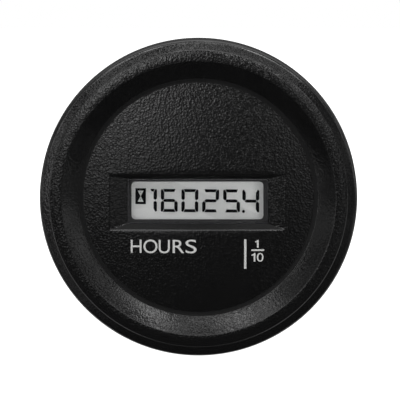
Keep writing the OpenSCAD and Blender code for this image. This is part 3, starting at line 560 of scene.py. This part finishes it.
def window_lens():
    """The flange, the block raised from it into the recess, and the block's rounded front edges."""
    nothing_selected()
    bpy.ops.mesh.primitive_plane_add(size=1, location=(0, WINDOW_Y, FLANGE_BACK))
    lens = started("window_pane")
    bpy.ops.mesh.select_all(action="SELECT")
    resize(FLANGE[0], FLANGE[1], 1, (0, WINDOW_Y, FLANGE_BACK))
    bpy.ops.mesh.bevel(offset=0.8, segments=5, affect="VERTICES")
    bpy.ops.mesh.select_all(action="SELECT")
    bpy.ops.mesh.extrude_region_move(TRANSFORM_OT_translate={"value": (0, 0, INNER_FACE - FLANGE_BACK)})
    bpy.ops.mesh.inset(thickness=LENS_LIP)
    wide, high = (hole - LENS_FIT for hole in LENS_HOLE)
    resize(wide / (FLANGE[0] - 2 * LENS_LIP), high / (FLANGE[1] - 2 * LENS_LIP), 1, (0, WINDOW_Y, INNER_FACE))
    move(LENS_PLACE[0], LENS_PLACE[1] - WINDOW_Y)
    bpy.ops.mesh.extrude_region_move(TRANSFORM_OT_translate={"value": (0, 0, LENS_FRONT - INNER_FACE)})
    face_outwards()
    pick(lens, lambda p: p.z > LENS_FRONT - 0.01, "EDGE")
    bpy.ops.mesh.bevel(offset=0.16, segments=3, affect="EDGES")
    bpy.ops.object.mode_set(mode="OBJECT")
    lens.data.materials.append(LENS)
    lens.data.materials.append(LENS_EDGE)
    for face in lens.data.polygons:
        across, up = (abs(face.center[i] - LENS_PLACE[i]) for i in (0, 1))
        outer = across > LENS_HOLE[0] / 2 - 0.25 or up > LENS_HOLE[1] / 2 - 0.25
        face.material_index = 1 if outer and face.center.z > INNER_FACE + 0.01 and face.normal.z < 0.98 else 0
    return lens


lens = stand_up(window_lens(), "meter", "clear_lens", LENS, "window_lens", smooth=0)
# The window is clear, so it throws no shadow on the display
lens.visible_shadow = False


# Display: the two bonded glasses with their films, clear in front and closed by the reflector behind

CELL_W, REAR_GLASS_H, FRONT_GLASS_H = 33.0, 12.4, 17.0
CELL_BACK, REAR_T, FRONT_T = -0.70, 0.88, 0.96


def display_cell():
    """One closed block with the outline of the bonded glasses."""
    nothing_selected()
    bpy.ops.mesh.primitive_plane_add(size=1, location=(0, WINDOW_Y, CELL_BACK))
    cell = started("display_cell")
    bpy.ops.mesh.select_all(action="SELECT")
    resize(CELL_W, REAR_GLASS_H, 1, (0, WINDOW_Y, 0))
    bpy.ops.mesh.extrude_region_move(TRANSFORM_OT_translate={"value": (0, 0, REAR_T)})
    # The front glass is higher than the rear one, which bares its contacts
    bpy.ops.mesh.extrude_region_move(TRANSFORM_OT_translate={"value": (0, 0, 0)})
    resize(1, FRONT_GLASS_H / REAR_GLASS_H, 1, (0, WINDOW_Y, 0))
    bpy.ops.mesh.extrude_region_move(TRANSFORM_OT_translate={"value": (0, 0, FRONT_T)})
    face_outwards()
    bpy.ops.object.mode_set(mode="OBJECT")
    for finish in (GLASS, POLARISER, REFLECTOR):
        cell.data.materials.append(finish)
    for face in cell.data.polygons:
        if abs(face.normal.z) > 0.9 and face.center.z > 1.0:
            face.material_index = 1
        elif face.center.z < CELL_BACK + 0.1:
            face.material_index = 2
    return cell


stand_up(display_cell(), "meter", "display_glass", GLASS, "lcd_front_polariser", "lcd_front_glass",
         "lcd_rear_glass", "lcd_reflector", smooth=0)

# The reading: each of the seven strokes drawn once and copied to the digits' places

DIGIT_W, DIGIT_H = 3.13, 4.28
UPRIGHT_W, LEVEL_W = 0.64, 0.56
READING_TOP = 1.14
READING_TILT = 0.45
READING_Z, READING_T = 0.21, 0.06
POINT_R, POINT_PLACE = 0.29, (8.30, -2.93, 0)
MARK_W, MARK_H, MARK_BORDER = 1.95, 2.95, 0.44
MARK_PLACE = (-10.675, -0.245, 0)
# Right edge of each digit, and its lit strokes clockwise from the top, then the middle one
READING = [(-7.65, "hbc"), (-3.83, "acdefg"), (-0.03, "abcdef"), (3.80, "abdeg"), (7.66, "acdfg"), (11.20, "bcfg")]


def strokes():
    """The seven strokes, mitred at the corners, and the short flag of the leading figure, about the digit's middle."""
    side, top = DIGIT_W / 2, DIGIT_H / 2
    inner, under = side - UPRIGHT_W, top - LEVEL_W
    tip, half = side - UPRIGHT_W / 2 - 0.08, LEVEL_W / 2
    upright = [(inner, 0.30), (side - UPRIGHT_W / 2, 0.06), (side, 0.38), (side, top - 0.26), (side - 0.14, top - 0.06),
               (side - 0.33, top - 0.06), (inner + 0.05, under), (inner, under - 0.10)]
    level = [(0.42 - side, top), (side - 0.42, top), (inner, under), (-inner, under)]
    middle = [(-tip, 0), (half - tip, half), (tip - half, half), (tip, 0), (tip - half, -half), (half - tip, -half)]
    flag = [(side - 1.24, top - 0.10), (side - 1.10, top), (side - 0.42, top), (inner, under),
            (side - 1.05, top - 0.42)]
    drawings = {"a": (level, 1, 1), "b": (upright, 1, 1), "c": (upright, 1, -1), "d": (level, 1, -1),
                "e": (upright, -1, -1), "f": (upright, -1, 1), "g": (middle, 1, 1), "h": (flag, 1, 1)}
    return {letter: outlined([(x * across, y * up) for x, y in points])
            for letter, (points, across, up) in drawings.items()}


def copy_to(piece, x, y):
    """A copy of the piece with a mesh of its own, at another place."""
    take(piece)
    bpy.ops.object.duplicate(linked=False)
    copy = bpy.context.object
    copy.location = (x, y, 0)
    return copy


def hourglass_mark():
    """A dark block with two clear bulbs, each left open as a triangle with a grain mark in it."""
    nothing_selected()
    bpy.ops.mesh.primitive_plane_add(size=1, location=(0, 0, 0))
    mark = started("hourglass_mark")
    bpy.ops.mesh.select_all(action="SELECT")
    resize(MARK_W, MARK_H, 1, (0, 0, 0))
    bpy.ops.mesh.inset(thickness=MARK_BORDER)
    bpy.ops.mesh.delete(type="ONLY_FACE")
    # The inner rectangle's sides are pulled in to the neck
    inner_side = MARK_W / 2 - MARK_BORDER
    pick(mark, lambda p: abs(abs(p.x) - inner_side) < 0.01, "EDGE")
    bpy.ops.mesh.subdivide(number_cuts=1)
    pick(mark, lambda p: abs(abs(p.x) - inner_side) < 0.01 and abs(p.y) < 0.01)
    resize(0.05, 1, 1, (0, 0, 0))
    for height in (0.73, -0.56):
        bpy.ops.mesh.select_all(action="DESELECT")
        bpy.ops.mesh.primitive_circle_add(vertices=16, radius=0.11, fill_type="NGON", location=(0, height, 0))
        resize(1, 0.5, 1, (0, height, 0))
    bpy.ops.object.mode_set(mode="OBJECT")
    return mark


def lit_reading():
    """The reading's digits, decimal point and hourglass in one piece, turned a little as a whole."""
    shapes = strokes()
    middle = READING_TOP - DIGIT_H / 2
    copies = [copy_to(shapes[letter], right - DIGIT_W / 2, middle) for right, lit in READING for letter in lit]
    nothing_selected()
    bpy.ops.mesh.primitive_circle_add(vertices=24, radius=POINT_R, fill_type="NGON", location=POINT_PLACE)
    copies.append(bpy.context.object)
    mark = hourglass_mark()
    mark.location = MARK_PLACE
    copies.append(mark)
    for shape in shapes.values():
        bpy.data.objects.remove(shape)
    take(mark)
    for copy in copies:
        copy.select_set(True)
    bpy.ops.object.join()
    mark.name = mark.data.name = "lit_reading"
    bpy.ops.object.transform_apply(location=True, rotation=True, scale=True)
    bpy.ops.object.mode_set(mode="EDIT")
    bpy.ops.mesh.select_all(action="SELECT")
    move(z=READING_Z)
    bpy.ops.transform.rotate(value=math.radians(READING_TILT), orient_axis="Z", center_override=(0, middle, 0))
    bpy.ops.object.mode_set(mode="OBJECT")
    use(mark, "SOLIDIFY", thickness=READING_T, offset=0.0)
    bpy.ops.object.mode_set(mode="EDIT")
    face_outwards()
    bpy.ops.object.mode_set(mode="OBJECT")
    return mark


reading = stand_up(lit_reading(), "meter", "segments", SEGMENTS, "lcd_segments", smooth=0)
# The display turns the light itself, so the reading throws no shadow on the ground behind it
reading.visible_shadow = False


# Studs: rolled thread with a pointed tip and a hexagon head, modelled once and copied

THREAD_PITCH, THREAD_R, THREAD_ROOT_R = 0.7, 1.96, 1.58
STUD_X, STUD_END, STUD_TIP = 14.0, -40.02, 0.4
HEAD_FLATS, HEAD_T = 7.0, 2.0


def threaded_stud():
    """One turn of thread wound down the stud, cut to length, with a tapered tip and a hexagon head."""
    stud = draw_section("threaded_stud", [
        (THREAD_ROOT_R, 0.0), (THREAD_ROOT_R + 0.03, 0.08), (THREAD_R, 0.29), (THREAD_R, 0.41),
        (THREAD_ROOT_R + 0.03, 0.62), (THREAD_ROOT_R, THREAD_PITCH)])
    bpy.ops.object.mode_set(mode="OBJECT")
    use(stud, "SCREW", angle=math.tau, screw_offset=THREAD_PITCH, iterations=32, steps=24, render_steps=24,
        use_merge_vertices=True, merge_threshold=0.001)
    bpy.ops.object.mode_set(mode="EDIT")
    bpy.ops.mesh.select_all(action="SELECT")
    bpy.ops.mesh.remove_doubles(threshold=0.001)
    move(z=-41.0)
    thread_end = STUD_END + STUD_TIP
    bpy.ops.mesh.bisect(plane_co=(0, 0, thread_end), plane_no=(0, 0, 1), use_fill=True, clear_inner=True)
    pick(stud, lambda p, n: p.z < thread_end + 0.01 and abs(n.z) > 0.99, "FACE")
    bpy.ops.mesh.extrude_region_move(TRANSFORM_OT_translate={"value": (0, 0, -STUD_TIP)})
    resize(0.8, 0.8, 1, (0, 0, STUD_END))
    bpy.ops.mesh.select_all(action="SELECT")
    bpy.ops.mesh.bisect(plane_co=(0, 0, BARREL_END), plane_no=(0, 0, 1), clear_outer=True)
    # The head, joined to the open end of the thread
    bpy.ops.mesh.select_all(action="DESELECT")
    head_middle = (0, 0, BARREL_END + HEAD_T / 2)
    bpy.ops.mesh.primitive_cylinder_add(vertices=6, radius=HEAD_FLATS / 2 / math.cos(math.radians(30)), depth=HEAD_T,
                                        location=head_middle)
    bpy.ops.transform.rotate(value=math.radians(30), orient_axis="Z", center_override=head_middle)
    pick(stud, lambda p, n: abs(p.z - BARREL_END) < 0.001 and p.xy.length < 1 and abs(n.z) > 0.99, "FACE")
    bpy.ops.mesh.delete(type="ONLY_FACE")
    pick_open(stud, lambda p: abs(p.z - BARREL_END) < 0.001)
    bpy.ops.mesh.bridge_edge_loops()
    pick(stud, lambda p: p.xy.length > 3 and p.z > BARREL_END + HEAD_T - 0.01, "EDGE")
    bpy.ops.mesh.bevel(offset=0.2, segments=2, affect="EDGES")
    face_outwards()
    bpy.ops.object.mode_set(mode="OBJECT")
    return stud


stud = threaded_stud()
for side, name in ((-1, "left"), (1, "right")):
    copy = copy_to(stud, side * STUD_X, 0)
    bpy.ops.object.transform_apply(location=True, rotation=False, scale=False)
    copy.name = copy.data.name = "threaded_stud_" + name
    stand_up(copy, "meter", "zinc_steel", ZINC, "stud_" + name, smooth=28)
bpy.data.objects.remove(stud)


# The other pieces of the back keep their solids' shapes and get the small rounded edges of the real ones

def with_soft_edges(name, source, body, finish, width, segments=2):
    """A copy of a solid with edges rounded to the width in millimetres."""
    piece = bpy.data.objects.new(name, nodes[source].data.copy())
    bpy.context.scene.collection.objects.link(piece)
    piece.data.name = name
    take(piece)
    piece.data.materials.clear()
    piece.data.materials.append(finish)
    bpy.ops.object.mode_set(mode="EDIT")
    bpy.ops.mesh.select_mode(type="VERT")
    bpy.ops.mesh.select_all(action="SELECT")
    bpy.ops.mesh.remove_doubles(threshold=0.000002)
    bpy.ops.mesh.dissolve_limited(angle_limit=math.radians(0.5))
    bpy.ops.object.mode_set(mode="OBJECT")
    use(piece, "BEVEL", width=width / 1000, segments=segments, limit_method="ANGLE", angle_limit=math.radians(40),
        use_clamp_overlap=True)
    bpy.ops.object.shade_smooth_by_angle(angle=math.radians(35))
    use(piece, "WEIGHTED_NORMAL", keep_sharp=True, weight=100)
    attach(piece, body)
    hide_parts(source)


with_soft_edges("bent_clamp", "stirrup_clamp", "clamp", STRAP, 0.15, 3)
with_soft_edges("split_washers", "lock_washers", "clamp", ZINC, 0.08)
with_soft_edges("hexagon_nut_left", "nut_left", "left_nut", ZINC, 0.09)
with_soft_edges("hexagon_nut_right", "nut_right", "right_nut", ZINC, 0.09)
with_soft_edges("blade_left", "terminal_left", "meter", BRASS, 0.06)
with_soft_edges("blade_right", "terminal_right", "meter", BRASS, 0.06)
with_soft_edges("moulded_cover", "rear_cover", "meter", COVER, 0.18, 3)
with_soft_edges("gasket_ring", "panel_gasket", "meter", SEAL_RUBBER, 0.2)

CAD_FINISHES = {
    "window_mask": MASK, "lcd_front_polariser": POLARISER, "lcd_front_glass": GLASS, "lcd_edge_seal": GLUE,
    "lcd_segments": SEGMENTS, "lcd_rear_glass": GLASS, "lcd_reflector": REFLECTOR, "display_frame": FRAME,
    "upper_contact_strip": RUBBER, "lower_contact_strip": RUBBER, "circuit_board": BOARD, "board_screws": ZINC,
    "controller_chip": CHIP, "memory_chip": CHIP, "clock_crystal": CAN, "bridge_rectifier": CHIP,
    "surge_suppressor": SUPPRESSOR, "dropping_resistors": RESISTOR, "chip_resistors": CHIP_CERAMIC,
    "chip_capacitors": CAPACITOR_CERAMIC, "reservoir_capacitor": SLEEVE, "voltage_regulator": CHIP,
    "terminal_left": BRASS, "terminal_right": BRASS, "rear_cover": COVER, "cover_seal": SEAL_RUBBER,
    "panel_gasket": SEAL_RUBBER, "stud_left": ZINC, "stud_right": ZINC, "stirrup_clamp": STRAP,
    "lock_washers": ZINC, "nut_left": ZINC, "nut_right": ZINC,
}
for name, finish in CAD_FINISHES.items():
    solid = nodes[name]
    solid.data.materials.clear()
    solid.data.materials.append(finish)


# Floor, light and camera

def floor_finish():
    """Pale floor that keeps the shadow near the object and fades to white."""
    finish = bpy.data.materials.new("floor_paper")
    finish.use_nodes = True
    tree = finish.node_tree
    tree.nodes.clear()
    out = node(tree, "ShaderNodeOutputMaterial")
    place = node(tree, "ShaderNodeTexCoord")
    far = node(tree, "ShaderNodeVectorMath", operation="LENGTH")
    tree.links.new(place.outputs["Object"], far.inputs[0])
    paper = node(tree, "ShaderNodeBsdfDiffuse")
    paper.inputs["Color"].default_value = (0.8, 0.8, 0.8, 1)
    seen_paper = node(tree, "ShaderNodeBsdfDiffuse")
    seen_paper.inputs["Color"].default_value = (0.42, 0.42, 0.42, 1)
    glow = node(tree, "ShaderNodeEmission")
    tree.links.new(between(tree, far.outputs["Value"], 0.66, 1.0, 0.06, 0.30), glow.inputs["Strength"])
    seen = node(tree, "ShaderNodeAddShader")
    tree.links.new(seen_paper.outputs[0], seen.inputs[0])
    tree.links.new(glow.outputs[0], seen.inputs[1])
    rays = node(tree, "ShaderNodeLightPath")
    first = node(tree, "ShaderNodeMixShader")
    tree.links.new(rays.outputs["Is Camera Ray"], first.inputs[0])
    tree.links.new(paper.outputs[0], first.inputs[1])
    tree.links.new(seen.outputs[0], first.inputs[2])
    tree.links.new(first.outputs[0], out.inputs["Surface"])
    return finish


nothing_selected()
bpy.ops.mesh.primitive_circle_add(vertices=96, radius=0.9, fill_type="NGON", location=(0, 0.02, -0.050))
floor = bpy.context.object
floor.name = "floor"
floor.data.materials.append(floor_finish())
floor.visible_glossy = False


# Lamps that the gloss shows: azimuth and rise in degrees, the bright core, the reach and the level
ROOM_LAMPS = [
    (12, 22, 2, 6, 3.4), (-47, -19, 0, 30, 0.33), (13, 61, 6, 24, 1.16), (-27, 18, 20, 37, 0.54),
    (45, 47, 11, 18, 1.03), (-45, 56, 2, 27, 1.35), (86, 43, 24, 92, 0.30), (4, 23, 20, 24, 0.56),
    (-64, 19, 19, 49, 0.17), (0, 88, 6, 26, 0.6), (19, -6, 3, 11, 0.16), (-19, -6, 3, 10, -0.25),
    (-112, -5, 10, 32, 0.3), (9, 8, 3, 14, 0.25),
]
# What the gloss shows behind the meter, from straight down (0) to straight up (1): the table and its dark far edge
# low down, then the pale backdrop
BACKDROP = [(0.0, 0.1), (0.045, 0.15), (0.08, 0.55), (0.30, 0.5), (0.40, 0.35), (0.48, 0.08), (0.62, 0.10),
            (0.76, 0.25), (0.90, 0.85), (0.98, 1.35)]
PLAIN_FILL = 0.30


def studio_world():
    """White backdrop behind, a dim room with soft lamps in front, and a plain fill."""
    world = bpy.data.worlds.new("studio")
    bpy.context.scene.world = world
    world.use_nodes = True
    tree = world.node_tree
    tree.nodes.clear()
    out = node(tree, "ShaderNodeOutputWorld")
    place = node(tree, "ShaderNodeTexCoord")
    way = node(tree, "ShaderNodeSeparateXYZ")
    tree.links.new(place.outputs["Generated"], way.inputs[0])

    def worked(a, b, operation):
        made = node(tree, "ShaderNodeMath", operation=operation)
        for i, value in enumerate((a, b)):
            if isinstance(value, (int, float)):
                made.inputs[i].default_value = value
            else:
                tree.links.new(value, made.inputs[i])
        return made.outputs[0]

    def ramp(value, stops):
        made = node(tree, "ShaderNodeValToRGB")
        bands = made.color_ramp
        while len(bands.elements) < len(stops):
            bands.elements.new(0.5)
        for band, (at, level) in zip(bands.elements, stops):
            band.position, band.color = at, (level, level, level, 1)
        tree.links.new(value, made.inputs["Fac"])
        return made.outputs["Color"]

    def glow(azimuth, rise, core, reach, level):
        """A soft round lamp, bright to core degrees from its middle and gone at reach degrees."""
        turn, tip = math.radians(azimuth), math.radians(rise)
        toward = node(tree, "ShaderNodeVectorMath", operation="DOT_PRODUCT")
        toward.inputs[1].default_value = (
            math.cos(tip) * math.sin(turn), -math.cos(tip) * math.cos(turn), math.sin(tip))
        tree.links.new(place.outputs["Generated"], toward.inputs[0])
        off = worked(toward.outputs["Value"], 0.0, "ARCCOSINE")
        spot = between(tree, off, 0.0, level, math.radians(reach), math.radians(core))
        spot.node.interpolation_type = "SMOOTHSTEP"
        return spot

    room = 0.0
    for lamp in ROOM_LAMPS:
        room = worked(glow(*lamp), room, "ADD")
    # The lamps' grids and the things between them, which make the grain sparkle
    clutter = node(tree, "ShaderNodeTexNoise")
    clutter.inputs["Scale"].default_value = 8.5
    clutter.inputs["Detail"].default_value = 0.0
    tree.links.new(place.outputs["Generated"], clutter.inputs["Vector"])
    room = worked(room, between(tree, clutter.outputs["Fac"], 0.1, 3.0, 0.44, 0.67), "MULTIPLY")
    level = ramp(between(tree, way.outputs["Z"], 0.0, 1.0, -1.0, 1.0), BACKDROP)
    back = worked(between(tree, way.outputs["Y"], 0.0, 1.0, -0.05, 0.4), level, "MULTIPLY")
    mirrored = worked(room, back, "MAXIMUM")
    rays = node(tree, "ShaderNodeLightPath")
    white = worked(rays.outputs["Is Camera Ray"], rays.outputs["Is Transmission Ray"], "MAXIMUM")
    plain = worked(worked(1.0, rays.outputs["Is Glossy Ray"], "SUBTRACT"), PLAIN_FILL, "MULTIPLY")
    strength = worked(worked(rays.outputs["Is Glossy Ray"], mirrored, "MULTIPLY"), plain, "ADD")
    light = node(tree, "ShaderNodeBackground")
    light.inputs["Color"].default_value = (1, 1, 1, 1)
    tree.links.new(worked(strength, white, "MAXIMUM"), light.inputs["Strength"])
    tree.links.new(light.outputs[0], out.inputs["Surface"])


studio_world()


def softbox(name, where, size, watts):
    """A soft lamp turned to the meter, which the gloss doesn't show."""
    lamp = bpy.data.lights.new(name, "AREA")
    lamp.shape = "RECTANGLE"
    lamp.size, lamp.size_y = size
    lamp.energy = watts
    box = bpy.data.objects.new(name, lamp)
    bpy.context.scene.collection.objects.link(box)
    box.location = where
    box.rotation_euler = (Vector((0, -0.005, 0)) - Vector(where)).to_track_quat("-Z", "Y").to_euler()
    box.visible_glossy = False
    box.visible_camera = False


softbox("key_softbox", (-0.30, -0.62, 0.50), (0.6, 0.5), 1.5)
softbox("front_softbox", (0.10, -0.82, -0.06), (0.9, 0.6), 7.2)
softbox("back_softbox", (0.30, 0.60, 0.55), (0.6, 0.5), 6.0)

camera_data = bpy.data.cameras.new("camera")
camera_data.lens = 900.0
camera_data.sensor_width = 36.0
camera = bpy.data.objects.new("camera", camera_data)
bpy.context.scene.collection.objects.link(camera)
AIM, RISE, DISTANCE = (0.000273, -0.005, -0.000367), math.radians(6), 1.8385
camera.location = (AIM[0], AIM[1] - DISTANCE * math.cos(RISE), AIM[2] + DISTANCE * math.sin(RISE))
camera.rotation_euler = (math.radians(90) - RISE, 0, 0)
bpy.context.scene.camera = camera
bpy.context.scene.view_settings.view_transform = "Standard"
